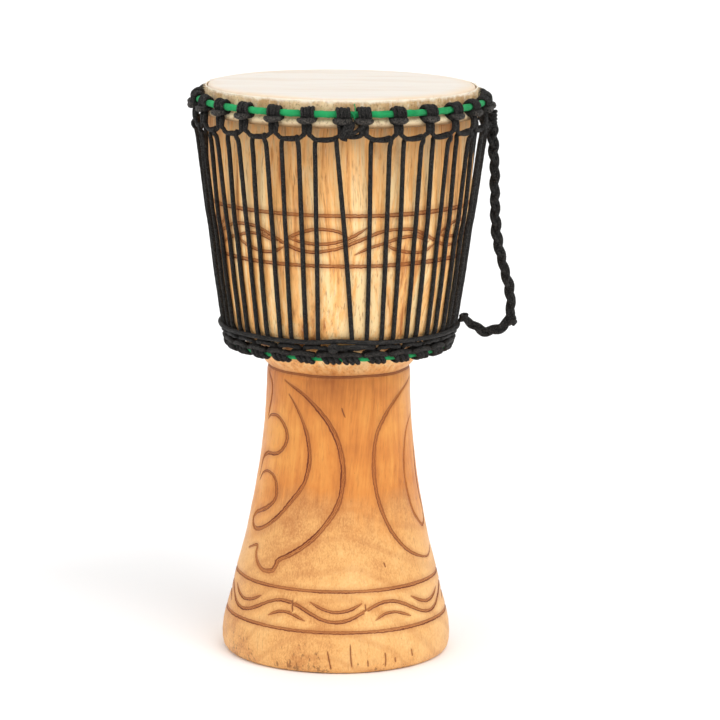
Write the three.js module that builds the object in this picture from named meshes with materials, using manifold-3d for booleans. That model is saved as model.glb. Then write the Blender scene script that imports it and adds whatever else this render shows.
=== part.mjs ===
// Djembe: a goblet drum carved from one log, with a goatskin head laced down by one long rope.
// Millimetres, +Z up, origin at the centre of the foot, front of the drum at -Y, handle at +X.
import * as THREE from 'three';
import { mergeVertices } from 'three/addons/utils/BufferGeometryUtils.js';
import Module from 'manifold-3d';

const wasm = await Module();
wasm.setup();

// ---- driving dimensions ----
const FACETS = 40;                 // facets round every turned piece
const HEAD_HEIGHT = 600;           // playing surface above the floor
const HEAD_FLAT_RADIUS = 134.5;    // where the skin starts to roll over the bearing edge
const SKIN = 1;                    // goatskin thickness
const SKIN_RADIUS = 139;           // outside of the skin below the bearing edge
const ROPE_RADIUS = 2.25;          // 4.5 mm braided rope

const FLESH_RING = { radius: 142.4, z: 575, rod: 3 };
const CROWN_RING = { radius: 149, z: 585, rod: 2.5, cloth: 3.6 };
const BOTTOM_RING = { radius: 112.5, z: 331.3, rod: 2.5, cloth: 3.4 };
const CLOTH_INNER_GAP = 0.55;      // between a ring's rod and the cloth round it
const CLOTH_SLIT = 24;             // degrees, the cloth's open seam on the hidden side

const KNOT_COUNT = 27;
const LOOPS = KNOT_COUNT - 1;      // the loop over each seam carries no lacing
const TOP_KNOT_START = 9;          // degrees, first knot right of the top seam
const TOP_KNOT_PITCH = 351.8 / 26; // the seam takes the other 8.2 degrees
const BOTTOM_KNOT_START = 5.5;
const BOTTOM_KNOT_PITCH = 350 / 26;
const KNOT_WIDTH = 16;             // four turns of rope side by side
const KNOT_OUTER = 8.2;            // outside of the turns, from the ring's centre
const KNOT_INNER = 5.1;            // inside of the turns

const TOP_SWAG = { radius: 151.3, z: 559.6 };
const BOTTOM_SWAG = { radius: 120.6, z: 344 };
const SWAG_CORNER = 2.9;           // degrees from a knot to the swag's corner
const SEAM_PULL = 1.2;             // degrees the first run is drawn towards the seam
const LOCK_ROPE = { radius: 124.5, z: 349.3 };

const RUN_TOP_SPREAD = 3.7;        // degrees from a top loop's middle to each run of the lacing
const RUN_LOW_LEFT = 4.4;          // degrees from a bottom loop's middle to the run on its left
const RUN_LOW_RIGHT = 1.6;         // and to the run on its right

const HANDLE_RADIUS = 5.25;        // plaited from three strands

// Tight bunches of rope: place and half sizes outward, along the ring and up.
const TOP_TIE_OFF = { degrees: 4.9, radius: 157, z: 569, size: [2.6, 5, 6.5] };
const LOCK_ROPE_KNOT = { degrees: -2, radius: 128.6, z: 342.8, size: [4, 6.5, 4.4] };
const HANDLE_TOP_HITCH = { degrees: 90, radius: 157.3, z: 567, size: [3.2, 6.5, 7] };
const HANDLE_BOTTOM_HITCH = { degrees: 90, radius: 130.5, z: 355.5, size: [4.8, 4.8, 4.8] };

// ---- materials ----
const finish = (color, roughness, metalness = 0) =>
  new THREE.MeshStandardMaterial({ color, roughness, metalness });
const wood = finish(0xc98b4f, 0.55);
const skin = finish(0xeadcc6, 0.6);
const steel = finish(0x6f7276, 0.45, 0.9);
const cloth = finish(0x2fa464, 0.85);
const rope = finish(0x262422, 0.9);

// ---- helpers ----
// A point on a cylinder: degrees from the front, positive towards the handle.
function at(degrees, radius, z) {
  const angle = THREE.MathUtils.degToRad(degrees);
  return new THREE.Vector3(radius * Math.sin(angle), -radius * Math.cos(angle), z);
}

function named(name, geometry, material) {
  const mesh = new THREE.Mesh(geometry, material);
  mesh.name = name;
  return mesh;
}

// A solid of revolution about Z from [radius, z] points that run counter-clockwise.
function turned(profile) {
  const points = profile.map(([radius, z]) => new THREE.Vector2(radius, z));
  return new THREE.LatheGeometry(points, FACETS).rotateX(Math.PI / 2);
}

function closed(profile) {
  return [...profile, profile[0]];
}

// Points round a circle in the radius-z plane, by their angles in degrees.
function arc(radius, z, size, angles) {
  return angles.map((degrees) => {
    const angle = THREE.MathUtils.degToRad(degrees);
    return [radius + size * Math.cos(angle), z + size * Math.sin(angle)];
  });
}

function polygon(sides, size) {
  const corners = [];
  for (let i = 0; i < sides; i += 1) {
    const angle = (2 * Math.PI * (i + 0.5)) / sides;
    corners.push(new THREE.Vector2(size * Math.cos(angle), size * Math.sin(angle)));
  }
  return corners;
}

// Straight runs of rope from point to point.
class RopeRun extends THREE.Curve {
  constructor(points) {
    super();
    this.points = points;
  }

  getPoint(t, target = new THREE.Vector3()) {
    const last = this.points.length - 1;
    const place = Math.min(t * last, last - 1e-9);
    const i = Math.floor(place);
    return target.lerpVectors(this.points[i], this.points[i + 1], place - i);
  }

  getPointAt(t, target) {
    return this.getPoint(t, target);
  }

  getSpacedPoints() {
    return this.points.map((point) => point.clone());
  }
}

function extrudedRope(path, sides, size, steps) {
  const section = new THREE.Shape(polygon(sides, size));
  return new THREE.ExtrudeGeometry(section, { steps, extrudePath: path });
}

function straightRope(points, sides = 6, size = ROPE_RADIUS) {
  return extrudedRope(new RopeRun(points), sides, size, points.length - 1);
}

function toSolid(geometry) {
  const bare = geometry.clone();
  bare.deleteAttribute('normal');
  bare.deleteAttribute('uv');
  const merged = mergeVertices(bare, 1e-3);
  return new wasm.Manifold(new wasm.Mesh({
    numProp: 3,
    vertProperties: new Float32Array(merged.attributes.position.array),
    triVerts: new Uint32Array(merged.index.array),
  }));
}

function joined(geometries) {
  const whole = geometries.map(toSolid).reduce((sum, solid) => sum.add(solid));
  const mesh = whole.getMesh();
  const geometry = new THREE.BufferGeometry();
  geometry.setAttribute('position', new THREE.BufferAttribute(mesh.vertProperties, 3));
  geometry.setIndex(new THREE.BufferAttribute(mesh.triVerts, 1));
  return geometry;
}

// ---- shell: bowl, throat and flared foot in one piece of wood ----
function shell() {
  const foot = [[106, 0], [113.5, 0], [119, 3.5], [120.4, 12], [118, 36], [110, 66]];
  const pipe = [[98.4, 114], [87.7, 166], [80, 218], [76.6, 257], [75.2, 292], [75, 301]];
  const groove = [[73.8, 304], [74.2, 307.5], [77.5, 309], [79, 311.5]];
  const underside = [[86, 318.5], [94, 326], [101.5, 334], [112, 345]];
  const bowl = [[115.6, 350], [119, 355], [126, 400], [132.5, 450], [136.4, 500], [137.6, 545]];
  const edge = [[137.5, 590], [136.4, 597.2], [134, 598.6], [130, 597.6]];
  const inside = [[125.5, 588], [124.5, 545], [118, 480], [107, 420], [90, 362], [62, 322]];
  const throat = [[44, 300], [42, 280], [49, 240], [64, 180], [80, 110], [95, 45]];
  return turned(closed([...foot, ...pipe, ...groove, ...underside, ...bowl, ...edge, ...inside,
    ...throat]));
}

// ---- head: the skin runs over the edge, round the flesh ring and up to the trimmed collar ----
function headSkin() {
  const ring = FLESH_RING;
  const under = HEAD_HEIGHT - SKIN;
  const underSkin = [[0, under], [134.3, under], [137.2, 598.4], [SKIN_RADIUS - SKIN, 597]];
  const outerLoop = arc(ring.radius, ring.z, ring.rod + 1.4, [180, 225, 270, 315, 0, 45, 90]);
  const collar = [[140.7, 580.8], [140.6, 592], [141.6, 596], [140.6, 596.4], [139.6, 592]];
  const innerLoop = arc(ring.radius, ring.z, ring.rod + 0.4, [135, 90, 45, 0, 315, 270, 225, 180]);
  const top = [[SKIN_RADIUS, 597.2], [138, 599.2], [HEAD_FLAT_RADIUS, HEAD_HEIGHT], [0, HEAD_HEIGHT]];
  return turned([...underSkin, ...outerLoop, ...collar, [139.6, 580], ...innerLoop, ...top]);
}

const around = (sides) => Array.from({ length: sides }, (_, i) => (360 / sides) * (i + 0.5));

function ringRod(ring, sides = 6) {
  return turned(closed(arc(ring.radius, ring.z, ring.rod, around(sides))));
}

// Cloth wound round a ring, open along a thin slit that faces `slit` degrees.
function ringCloth(ring, slit) {
  const turn = (360 - CLOTH_SLIT) / 6;
  const angles = Array.from({ length: 7 }, (_, i) => slit + CLOTH_SLIT / 2 + turn * i);
  const outer = arc(ring.radius, ring.z, ring.cloth, angles);
  const inner = arc(ring.radius, ring.z, ring.rod + CLOTH_INNER_GAP, [...angles].reverse());
  return turned(closed([...outer, ...inner]));
}

// ---- cradle: rope knotted round a ring, with a swag from each knot to the next ----
function knotAngles(start, pitch) {
  return Array.from({ length: KNOT_COUNT }, (_, i) => start + pitch * i);
}

function knot(ring, degrees) {
  const section = new THREE.Shape(polygon(6, KNOT_OUTER));
  section.holes.push(new THREE.Path(polygon(6, KNOT_INNER)));
  const sleeve = new THREE.ExtrudeGeometry(section, { depth: KNOT_WIDTH, bevelEnabled: false });
  sleeve.translate(0, 0, -KNOT_WIDTH / 2);
  const outward = at(degrees, 1, 0);
  const up = new THREE.Vector3(0, 0, 1);
  const along = new THREE.Vector3().crossVectors(outward, up);
  const place = new THREE.Matrix4().makeBasis(outward, up, along);
  place.setPosition(at(degrees, ring.radius, ring.z));
  return sleeve.applyMatrix4(place);
}

// legs: [degrees from the knot, radius, z], from the knot out to the swag's corner.
function cradle(ring, angles, legs) {
  const route = [];
  angles.forEach((knotAngle, i) => {
    const next = i + 1 < angles.length ? angles[i + 1] : angles[0] + 360;
    const narrow = next - knotAngle < 3 * SWAG_CORNER;
    const used = narrow ? legs.slice(0, -1) : legs;
    used.forEach(([offset, radius, z]) => route.push(at(knotAngle + offset, radius, z)));
    [...used].reverse().forEach(([offset, radius, z]) => route.push(at(next - offset, radius, z)));
  });
  const knots = angles.map((degrees) => knot(ring, degrees));
  return joined([straightRope(route, 5), ...knots]);
}

const topAngles = knotAngles(TOP_KNOT_START, TOP_KNOT_PITCH);
const bottomAngles = knotAngles(BOTTOM_KNOT_START, BOTTOM_KNOT_PITCH);

function topCradle() {
  return cradle(CROWN_RING, topAngles, [
    [0.9, 153.6, 578.5],
    [0.9, 151.6, 566.5],
    [SWAG_CORNER, TOP_SWAG.radius, TOP_SWAG.z],
  ]);
}

function bottomCradle() {
  return cradle(BOTTOM_RING, bottomAngles, [
    [1.0, 118.4, 335.5],
    [1.0, 119.8, 339.5],
    [SWAG_CORNER + 0.3, BOTTOM_SWAG.radius, BOTTOM_SWAG.z],
  ]);
}

// ---- lacing: one rope that zigzags between the two cradles, two runs to a loop ----
function lacing() {
  const runs = [[146.4, 561.2], [132.4, 425], [122.1, 356], [118.7, 349.2]];
  const topZ = runs[0][1];
  const drop = topZ - runs.at(-1)[1];
  const run = (from, to) => runs.map(([radius, z]) =>
    at(from + ((to - from) * (topZ - z)) / drop, radius, z));
  const route = [];
  for (let loop = LOOPS - 1; loop >= 0; loop -= 1) {
    const besideSeam = loop === LOOPS - 1;
    const topMiddle = topAngles[loop] + TOP_KNOT_PITCH / 2;
    const nextLow = besideSeam ? bottomAngles[0] + 360 : bottomAngles[loop + 1];
    const pull = besideSeam ? SEAM_PULL : 0;
    const lowLeft = nextLow + BOTTOM_KNOT_PITCH / 2 - RUN_LOW_LEFT - pull;
    const lowRight = bottomAngles[loop] + BOTTOM_KNOT_PITCH / 2 + RUN_LOW_RIGHT;
    route.push(...run(topMiddle + RUN_TOP_SPREAD + pull, lowLeft).reverse());
    route.push(...run(topMiddle - RUN_TOP_SPREAD, lowRight));
  }
  return straightRope(route, 5);
}

function lockRope() {
  return turned(closed(arc(LOCK_ROPE.radius, LOCK_ROPE.z, ROPE_RADIUS, around(6))));
}

// ---- small rope pieces ----
function lump({ degrees, radius, z, size }) {
  const ball = new THREE.SphereGeometry(1, 10, 8).rotateX(Math.PI / 2);
  ball.scale(...size);
  ball.rotateZ(THREE.MathUtils.degToRad(degrees - 90));
  return ball.translate(...at(degrees, radius, z).toArray());
}

// ---- handle: hangs in the plane Y = 0 from the crown to the bottom cradle ----
const handleRoute = [
  [157.2, 559.2], [157, 548], [158.2, 533], [159.6, 517], [160, 500], [160.4, 480],
  [161.4, 460], [163.6, 441], [167, 424], [171.4, 408], [175.8, 393], [178.8, 378],
  [179.4, 364], [176.6, 352], [168.6, 344.4], [158, 341.2], [147, 343], [136.2, 350.4],
];

function handle() {
  const points = handleRoute.map(([x, z]) => new THREE.Vector3(x, 0, z));
  return extrudedRope(new THREE.CatmullRomCurve3(points), 8, HANDLE_RADIUS, 22);
}

// ---- the drum ----
const djembe = new THREE.Group();
djembe.add(named('shell', shell(), wood));
djembe.add(named('head_skin', headSkin(), skin));
djembe.add(named('flesh_ring', ringRod(FLESH_RING, 8), steel));
djembe.add(named('crown_ring', ringRod(CROWN_RING), steel));
djembe.add(named('crown_ring_cloth', ringCloth(CROWN_RING, 180), cloth));
djembe.add(named('top_cradle_rope', topCradle(), rope));
djembe.add(named('top_tie_off', lump(TOP_TIE_OFF), rope));
djembe.add(named('lacing_rope', lacing(), rope));
djembe.add(named('lock_rope', lockRope(), rope));
djembe.add(named('lock_rope_knot', lump(LOCK_ROPE_KNOT), rope));
djembe.add(named('bottom_ring', ringRod(BOTTOM_RING), steel));
djembe.add(named('bottom_ring_cloth', ringCloth(BOTTOM_RING, 135), cloth));
djembe.add(named('bottom_cradle_rope', bottomCradle(), rope));
djembe.add(named('handle_rope', handle(), rope));
djembe.add(named('handle_top_hitch', lump(HANDLE_TOP_HITCH), rope));
djembe.add(named('handle_bottom_hitch', lump(HANDLE_BOTTOM_HITCH), rope));

export default djembe;
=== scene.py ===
import math
import random

import bmesh
import bpy
from mathutils import Matrix, Vector, kdtree, noise


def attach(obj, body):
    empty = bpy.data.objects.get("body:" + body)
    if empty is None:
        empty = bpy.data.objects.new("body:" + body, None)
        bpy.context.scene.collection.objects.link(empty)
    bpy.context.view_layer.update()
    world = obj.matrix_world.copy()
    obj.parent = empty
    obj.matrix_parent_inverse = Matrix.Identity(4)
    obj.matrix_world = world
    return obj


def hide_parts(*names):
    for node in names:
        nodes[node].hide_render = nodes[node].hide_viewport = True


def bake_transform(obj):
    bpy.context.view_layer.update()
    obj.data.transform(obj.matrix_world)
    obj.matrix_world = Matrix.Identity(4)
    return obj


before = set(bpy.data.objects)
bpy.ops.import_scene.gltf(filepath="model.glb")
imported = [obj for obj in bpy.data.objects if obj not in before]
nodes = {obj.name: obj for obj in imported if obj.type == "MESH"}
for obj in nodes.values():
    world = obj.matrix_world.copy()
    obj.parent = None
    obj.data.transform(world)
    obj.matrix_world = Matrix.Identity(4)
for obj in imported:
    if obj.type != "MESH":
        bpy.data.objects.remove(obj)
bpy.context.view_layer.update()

mm = 0.001
random.seed(7)


def polar(degrees, radius, height):   # millimetres, 0 degrees is the front, positive is right
    a = math.radians(degrees)
    return Vector((radius * math.sin(a), -radius * math.cos(a), height)) * mm


def wobble(x, seed, size=1.0):   # smooth noise from -1 to 1 along one number
    return noise.noise(Vector((x * size, seed * 7.31, seed * 1.7)))


def smoothRoute(points, step, cyclic=False):   # even steps along a smooth line through the points
    n = len(points)
    spans = n if cyclic else n - 1
    fine = []
    for i in range(spans):
        if cyclic:
            p0, p1, p2, p3 = (points[(i + k) % n] for k in (-1, 0, 1, 2))
        else:
            p1, p2 = points[i], points[i + 1]
            p0 = points[i - 1] if i > 0 else p1 * 2 - p2
            p3 = points[i + 2] if i + 2 < n else p2 * 2 - p1
        for k in range(12):
            t = k / 12
            a = p1 * 2 + (p2 - p0) * t
            b = (p0 * 2 - p1 * 5 + p2 * 4 - p3) * (t * t)
            c = (p1 * 3 - p0 - p2 * 3 + p3) * (t * t * t)
            fine.append((a + b + c) * 0.5)
    fine.append(points[0].copy() if cyclic else points[-1].copy())
    lengths = [0.0]
    for a, b in zip(fine, fine[1:]):
        lengths.append(lengths[-1] + (b - a).length)
    count = max(2, round(lengths[-1] / step))
    even, j = [], 0
    for k in range(count if cyclic else count + 1):
        want = lengths[-1] * k / count
        while j < len(lengths) - 2 and lengths[j + 1] < want:
            j += 1
        span = max(lengths[j + 1] - lengths[j], 1e-12)
        even.append(fine[j].lerp(fine[j + 1], min(1, (want - lengths[j]) / span)))
    return even, lengths[-1]


def link(name, data):
    obj = bpy.data.objects.new(name, data)
    bpy.context.scene.collection.objects.link(obj)
    return obj


def tube(name, routes, radius, sides=2, cyclic=False, pitch=0.004, swell=None):
    # routes are lists of points in metres; the UV map runs once round and once per pitch along
    # swell gives the thickness at a place, 1 where the rope is plain
    curve = bpy.data.curves.new(name, "CURVE")
    curve.dimensions = "3D"
    curve.bevel_depth = radius
    curve.bevel_resolution = sides
    curve.use_fill_caps = not cyclic
    curve.resolution_u = 1
    total = 0
    for route in routes:
        spline = curve.splines.new("POLY")
        spline.points.add(len(route) - 1)
        for i, (point, place) in enumerate(zip(spline.points, route)):
            point.co = (*place, 1)
            point.radius = 1 + 0.05 * wobble(i * 0.35, len(route) * 0.013)
            if swell:
                point.radius *= swell(place)
        spline.use_cyclic_u = cyclic
        spline.use_smooth = True
        total += sum((b - a).length for a, b in zip(route, route[1:]))
    holder = link(name + "Curve", curve)
    grabbed = bpy.context.evaluated_depsgraph_get()
    mesh = bpy.data.meshes.new_from_object(holder.evaluated_get(grabbed))
    bpy.data.objects.remove(holder)
    bpy.data.curves.remove(curve)
    repeats = max(1, round(total / len(routes) / pitch))
    for corner in mesh.uv_layers[0].data:
        corner.uv[1] *= repeats
    bm = bmesh.new()
    bm.from_mesh(mesh)
    bmesh.ops.remove_doubles(bm, verts=bm.verts, dist=1e-6)
    bm.to_mesh(mesh)
    bm.free()
    mesh.materials.clear()
    outward = [v.normal.copy() for v in mesh.vertices]
    for v, normal in zip(mesh.vertices, outward):   # braided rope is never quite round
        v.co += normal * (0.17 * mm * noise.noise(v.co / mm * 0.62))
    return link(name, mesh)


def meshFrom(name, bm, smooth=True):
    mesh = bpy.data.meshes.new(name)
    bm.to_mesh(mesh)
    bm.free()
    if smooth:
        mesh.shade_smooth()
    return link(name, mesh)


def lathe(line, closed, steps, apart):   # a line of r and z in millimetres, turned round the axis
    bm = bmesh.new()
    chain = [bm.verts.new((r * mm, 0, z * mm)) for r, z in line]
    following = chain[1:] + chain[:1] if closed else chain[1:]
    edges = [bm.edges.new(pair) for pair in zip(chain, following)]
    bmesh.ops.spin(bm, geom=chain + edges, axis=(0, 0, 1), cent=(0, 0, 0), angle=2 * math.pi,
                   steps=steps, use_merge=True)
    bmesh.ops.remove_doubles(bm, verts=bm.verts, dist=apart)
    bmesh.ops.recalc_face_normals(bm, faces=bm.faces)
    return bm


def finished(obj, material, body, slotName, *replaced):
    obj.data.materials.clear()
    obj.data.materials.append(material)
    if replaced:
        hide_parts(*replaced)
    if body:
        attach(obj, body)
    return obj


class Finish:   # a material being made; each step adds a node and gives its output
    def __init__(self, name):
        self.material = bpy.data.materials.new(name)
        self.material.use_nodes = True
        self.tree = self.material.node_tree

    def fill(self, socket, value):
        if isinstance(value, bpy.types.NodeSocket):
            self.tree.links.new(value, socket)
        else:
            socket.default_value = (*value, 1) if socket.type == "RGBA" else value

    def shader(self, values):   # the last step: what the shader itself is given
        for key, value in values.items():
            self.fill(self.tree.nodes["Principled BSDF"].inputs[key], value)
        return self.material

    def node(self, kind, inputs=None, **settings):
        made = self.tree.nodes.new(kind)
        for key, value in settings.items():
            setattr(made, key, value)
        for key, value in (inputs or {}).items():
            self.fill(made.inputs[key], value)
        return made

    def place(self):
        return self.node("ShaderNodeTexCoord").outputs["Object"]

    def painted(self, layer):
        return self.node("ShaderNodeAttribute", attribute_name=layer).outputs["Fac"]

    def maths(self, operation, a, b=0.0, c=0.0):
        return self.node("ShaderNodeMath", {0: a, 1: b, 2: c}, operation=operation).outputs[0]

    def times(self, a, b):
        return self.maths("MULTIPLY", a, b)

    def plus(self, a, b):
        return self.maths("ADD", a, b)

    def minus(self, a, b):
        return self.maths("SUBTRACT", a, b)

    def weighted(self, *parts):   # the sum of values, each times its weight
        total = 0.0
        for value, weight in parts:
            total = self.maths("MULTIPLY_ADD", value, weight, total)
        return total

    def span(self, value, low, high, toLow=0.0, toHigh=1.0):
        return self.node("ShaderNodeMapRange", {0: value, 1: low, 2: high, 3: toLow, 4: toHigh}).outputs[0]

    def ramp(self, factor, stops):
        made = self.node("ShaderNodeValToRGB", {0: factor})
        elements = made.color_ramp.elements
        while len(elements) < len(stops):
            elements.new(0.5)
        for element, (place, colour) in zip(elements, stops):
            element.position = place
            element.color = (*colour, 1)
        return made.outputs[0]

    def threeTone(self, value, tones):
        return self.ramp(value, list(zip((0.0, 0.5, 1.0), tones)))

    def mix(self, factor, a, b):
        return self.node("ShaderNodeMix", {0: factor, 6: a, 7: b}, data_type="RGBA").outputs[2]

    def tint(self, colour, mask, share, other):   # the other colour, where the mask is, up to a share
        return self.mix(self.times(mask, share), colour, other)

    def noise(self, vector, scale, detail=3, rough=0.5, distort=0.0):
        return self.node("ShaderNodeTexNoise", {"Vector": vector, "Scale": scale, "Detail": detail,
                                                "Roughness": rough, "Distortion": distort}).outputs["Fac"]

    def stretched(self, source, scale, at=(0, 0, 0)):
        return self.node("ShaderNodeMapping", {"Vector": source, "Location": at, "Scale": scale}).outputs[0]

    def grain(self, source, scale, detail=3, rough=0.5, distort=0.0, at=(0, 0, 0)):
        return self.noise(self.stretched(source, scale, at), 1.0, detail, rough, distort)

    def bump(self, height, distance, strength):
        return self.node("ShaderNodeBump", {"Height": height, "Distance": distance,
                                            "Strength": strength}).outputs[0]


# the shell, carved from one log

woodLook = {
    "bowl": ((0.50, 0.175, 0.046), (0.95, 0.490, 0.162), (0.98, 0.700, 0.350)),
    "stem": ((0.42, 0.125, 0.024), (0.66, 0.235, 0.045), (0.79, 0.345, 0.075)),
    "foot": ((0.52, 0.205, 0.058), (0.78, 0.405, 0.135), (0.89, 0.55, 0.225)),
    "fleck": (0.30, 0.095, 0.022),
    "pale": (0.98, 0.78, 0.50),
    "pit": (0.13, 0.042, 0.015),
    # painted shade: darker streaks at the top of the bowl, under the top ropes
    "topShade": (0.36, 0.145, 0.058),
    # painted shade in the carved lines
    "cutShade": (0.135, 0.024, 0.006),
    "grooveFloor": (0.50, 0.160, 0.036),
    "crack": (0.085, 0.028, 0.012),
    "roughness": 0.40,
    # metres up
    "bowlFrom": 0.312,            # where the redder stem gives way to the pale bowl
    "footFrom": 0.150,            # where the foot turns golden, a ragged edge
    "topShadeFrom": (0.50, 0.575),
    "pitted": (0.045, 0.006),     # more pits towards the rim of the foot
}


def woodMaterial():
    mat = Finish("carvedWood")
    look = woodLook
    place = mat.place()
    height = mat.node("ShaderNodeSeparateXYZ", {0: place}).outputs[2]

    # the grain runs up the log, a little bent
    lean = mat.times(mat.minus(mat.grain(place, (7, 7, 3), 2), 0.5), 0.05)
    shift = mat.node("ShaderNodeCombineXYZ", {0: lean, 1: lean}).outputs[0]
    log = mat.node("ShaderNodeVectorMath", {0: place, 1: shift}, operation="ADD").outputs[0]
    broad = mat.grain(log, (30, 30, 2.2))
    streak = mat.grain(log, (150, 150, 9), 4, 0.65)
    fleck = mat.grain(log, (520, 520, 42), 3, 0.65, at=(0.3, 0.1, 0))
    pore = mat.grain(log, (1500, 1500, 160), 2, 0.6)
    cloud = mat.noise(place, 8.5, 4, 0.55)
    mottle = mat.noise(place, 42.0, 4, 0.65)

    # bowl: long pale and brown streaks
    bowlTone = mat.weighted((broad, 0.40), (streak, 0.60))
    bowl = mat.threeTone(mat.span(bowlTone, 0.36, 0.585), look["bowl"])
    flecks = mat.span(fleck, 0.54, 0.70)
    bowl = mat.tint(bowl, flecks, 0.62, look["fleck"])
    pale = mat.span(mat.grain(log, (480, 480, 36), 2, at=(4, 2, 1)), 0.58, 0.72)
    bowl = mat.tint(bowl, pale, 0.32, look["pale"])

    # stem: varnish that took in clouds, with fine short lines
    stemTone = mat.weighted((cloud, 0.70), (streak, 0.30))
    stem = mat.threeTone(mat.span(stemTone, 0.37, 0.60), look["stem"])
    stem = mat.tint(stem, flecks, 0.34, look["fleck"])

    # foot: golden, gritty, with the wide arches of flat-sawn grain
    arches = mat.stretched(log, (1.0, 1.0, 0.62), (0, 0, 0.11))
    rings = mat.node("ShaderNodeTexWave", {"Vector": arches, "Scale": 17.0, "Distortion": 4.5,
                                           "Detail": 2.0, "Detail Scale": 0.55, "Detail Roughness": 0.45},
                     wave_type="RINGS", rings_direction="Y").outputs["Fac"]
    grit = mat.grain(place, (620, 620, 380), 3, 0.7)
    footTone = mat.weighted((mottle, 0.24), (cloud, 0.46), (grit, 0.30))
    foot = mat.threeTone(mat.span(footTone, 0.37, 0.62), look["foot"])
    foot = mat.tint(foot, mat.span(rings, 0.80, 1.0), 0.30, look["foot"][0])
    foot = mat.tint(foot, flecks, 0.30, look["fleck"])

    ragged = mat.plus(height, mat.times(mat.minus(cloud, 0.5), 0.22))
    lower = mat.span(ragged, look["footFrom"] + 0.03, look["footFrom"] - 0.03)
    upper = mat.span(height, look["bowlFrom"] - 0.012, look["bowlFrom"] + 0.012)
    colour = mat.mix(upper, mat.mix(lower, stem, foot), bowl)

    # dark pits and stains, thickest at the rim of the foot
    stain = mat.span(mat.noise(place, 21.0, 5, 0.7), 0.57, 0.76)
    nearRim = mat.times(mat.span(height, *look["pitted"]), mat.span(cloud, 0.56, 0.42, 0.02, 0.19))
    pits = mat.span(mat.plus(mat.grain(place, (240, 240, 130), 3, 0.7), nearRim), 0.69, 0.76)
    colour = mat.tint(colour, stain, 0.34, look["stem"][0])
    colour = mat.tint(colour, pits, 0.6, look["pit"])
    # painted shade: darker streaks at the top of the bowl, under the top ropes
    topShade = mat.times(mat.span(height, *look["topShadeFrom"]), mat.span(streak, 0.38, 0.62))
    colour = mat.tint(colour, topShade, 0.58, look["topShade"])

    # carved lines: painted shade along the rims and the middle of the cut, deeper on one wall, paler along
    # the floor of the cut
    side = mat.painted("cutSide")
    away = mat.painted("cutAway")
    inCut = mat.span(away, 1.9, 1.55)
    rough = mat.times(mat.minus(mat.noise(place, 260.0, 3, 0.6), 0.5), 0.9)
    t = mat.plus(mat.maths("ABSOLUTE", side), rough)
    within = mat.times(mat.span(t, 1.18, 0.92), inCut)
    rimDark = mat.times(mat.span(t, 0.32, 0.56), mat.span(t, 1.24, 0.98))
    # painted shade: one wall of each cut darker than the other
    rimDark = mat.times(rimDark, mat.span(side, -0.9, 0.9, 0.62, 1.0))
    middle = mat.times(mat.span(t, 0.26, 0.04), 0.70)
    moved = mat.stretched(place, (1, 1, 1), (2, 5, 3))
    fade = mat.span(mat.noise(moved, 24.0, 2), 0.36, 0.55, 0.72)
    dark = mat.times(mat.maths("MAXIMUM", rimDark, middle), fade)
    inside = mat.mix(dark, mat.mix(0.75, colour, look["grooveFloor"]), look["cutShade"])
    colour = mat.tint(colour, mat.span(away, 3.6, 1.0), 0.40, look["stem"][0])
    colour = mat.mix(within, colour, inside)
    thin = mat.times(mat.span(t, 0.95, 0.25), inCut)
    colour = mat.tint(colour, thin, mat.painted("crack"), look["crack"])

    gloss = mat.span(mottle, 0.3, 0.7, look["roughness"] - 0.06, look["roughness"] + 0.12)
    gloss = mat.plus(mat.plus(gloss, mat.times(upper, 0.16)), mat.times(within, 0.2))
    relief = mat.weighted((fleck, 0.5), (pore, 0.35), (mottle, 0.5))
    return mat.shader({"Base Color": colour, "Roughness": gloss, "Specular IOR Level": 0.30,
                       "Normal": mat.bump(relief, 0.0006, 0.55)})


shellShape = {
    "around": 132,
    "step": 5.0,             # millimetres between rings of vertices outside
    "outside": [(106, 0), (112.5, 0), (116.5, 1.2), (119.2, 4.5), (120.3, 10), (120.6, 18), (119.6, 29),
                (117.7, 38), (114.8, 49), (111, 62), (108.2, 75.5), (104.9, 88.5), (101.6, 101.5),
                (98.2, 114.5), (95.4, 127.5), (92.6, 140.5), (90.1, 153.5), (87.6, 166.5),
                (85.4, 179.5), (83.3, 192.5), (81.6, 205), (80, 218), (78.5, 231), (77.2, 244),
                (76.5, 257), (75.8, 270), (75.3, 283), (75.1, 295), (74.9, 300)],
    "groove": [(74.4, 302), (73.9, 304), (74.2, 306), (75.7, 307.4), (77.4, 309), (79.5, 312),
               (85, 317.5), (93, 325.2), (100.8, 333), (106.8, 339.4), (112, 345), (115.8, 350)],
    "bowl": [(118.8, 355), (121, 367), (123, 378), (126.3, 400), (129.6, 425), (132.4, 450),
             (134.8, 475), (136.4, 500), (137.3, 525), (137.6, 550), (137.5, 590)],
    "edge": [(137, 595), (136.2, 597.2), (135, 598.3), (133.2, 598.6), (131, 598), (129, 596)],
    "inside": [(127, 590), (125.5, 575), (124.5, 545), (122, 510), (118, 480), (107, 420), (98, 390),
               (89.5, 362), (76, 340), (62, 322), (51, 308), (44, 298), (42, 284), (43.5, 265),
               (48.5, 240), (56, 210), (64, 180), (72, 145), (80, 110), (88, 75), (95, 45), (101, 20)],
    "handCut": 0.35,         # millimetres that the surface wanders
    "flangeShadowLine": 304.4,     # height of the painted shadow line in the groove at the waist
}

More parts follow.
